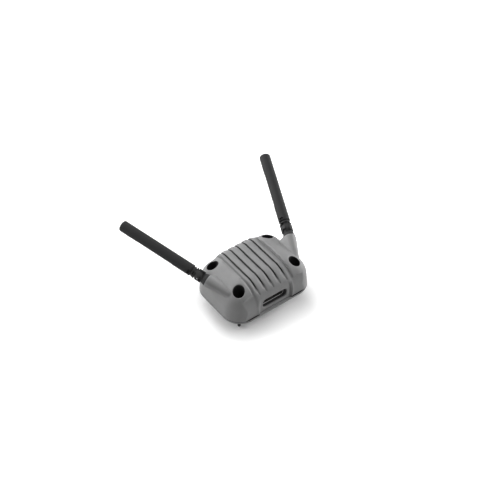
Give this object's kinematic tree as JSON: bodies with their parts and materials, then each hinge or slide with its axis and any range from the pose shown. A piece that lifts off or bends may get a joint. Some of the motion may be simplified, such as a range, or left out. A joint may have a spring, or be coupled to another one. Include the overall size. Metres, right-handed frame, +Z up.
{
  "type": "wireless receiver unit",
  "caption": "Rounded moulded housing with a ribbed top, deep corner screw wells, a recessed connector port and folding swivel antennas",
  "frame": {"origin": "centre of the mounting screw pattern, on the underside of the base plate", "axes": "+X along the long side to the right antenna, -Y out of the connector side, +Z up, away from the mounting surface"},
  "size_m": [0.1698, 0.1258, 0.0755],
  "materials": {
    "shell": "fine-textured grey moulding, matt",
    "plate": "dark grey moulded plate, matt",
    "seal": "soft black sealing rubber",
    "screw_black": "blackened steel",
    "washer": "zinc-plated steel",
    "screw_steel": "bright steel",
    "board": "green solder resist on glass-fibre board",
    "can": "tin-plated sheet",
    "chip": "black moulded package",
    "gold": "gold-plated brass",
    "cable": "black cable sheath",
    "connector_shell": "nickel-plated drawn sheet",
    "insulator": "black glass-filled plastic",
    "collar": "dark moulded collar",
    "hinge": "dark moulded knuckle",
    "clip": "spring steel",
    "antenna": "dark semi-rigid sleeve, satin"
  },
  "bodies": {
    "housing": {"upper_housing": "shell", "base_plate": "plate", "base_seal": "seal", "cover_screws": "screw_steel", "mounting_screws": "screw_black", "mounting_washers": "washer", "main_board": "board", "board_standoffs": "gold", "board_screws": "screw_steel", "shield_can": "can", "processor_chip": "chip", "rf_sockets": "gold", "rf_plugs": "gold", "left_coax": "cable", "right_coax": "cable", "port_shell": "connector_shell", "port_insulator": "insulator", "port_contacts": "gold", "port_gasket": "seal", "left_collar": "collar", "right_collar": "collar", "left_o_ring": "seal", "right_o_ring": "seal"},
    "left_knuckle": {"left_swivel": "hinge", "left_clip": "clip", "left_hinge_pin": "screw_steel"},
    "left_antenna": {"left_tongue": "hinge", "left_sleeve": "antenna", "left_dipole": "gold"},
    "right_knuckle": {"right_swivel": "hinge", "right_clip": "clip", "right_hinge_pin": "screw_steel"},
    "right_antenna": {"right_tongue": "hinge", "right_sleeve": "antenna", "right_dipole": "gold"}
  },
  "joints": [
    {"name": "right_swivel_turn", "type": "hinge", "parent": "housing", "child": "right_knuckle", "pos_m": [0.046, 0.0066, 0.0301], "axis": [0.3715, 0.8926, 0.2554], "range_deg": [-20, 110]},
    {"name": "right_antenna_tilt", "type": "hinge", "parent": "right_knuckle", "child": "right_antenna", "pos_m": [0.04908, 0.01401, 0.03222], "axis": [0.9232, -0.3843, 0], "range_deg": [0, 90]},
    {"name": "left_swivel_turn", "type": "hinge", "parent": "housing", "child": "left_knuckle", "pos_m": [-0.046, 0.0066, 0.0301], "axis": [0.3715, -0.8926, -0.2554], "range_deg": [-20, 110]},
    {"name": "left_antenna_tilt", "type": "hinge", "parent": "left_knuckle", "child": "left_antenna", "pos_m": [-0.04908, 0.01401, 0.03222], "axis": [0.9232, 0.3843, 0], "range_deg": [0, 90]}
  ]
}
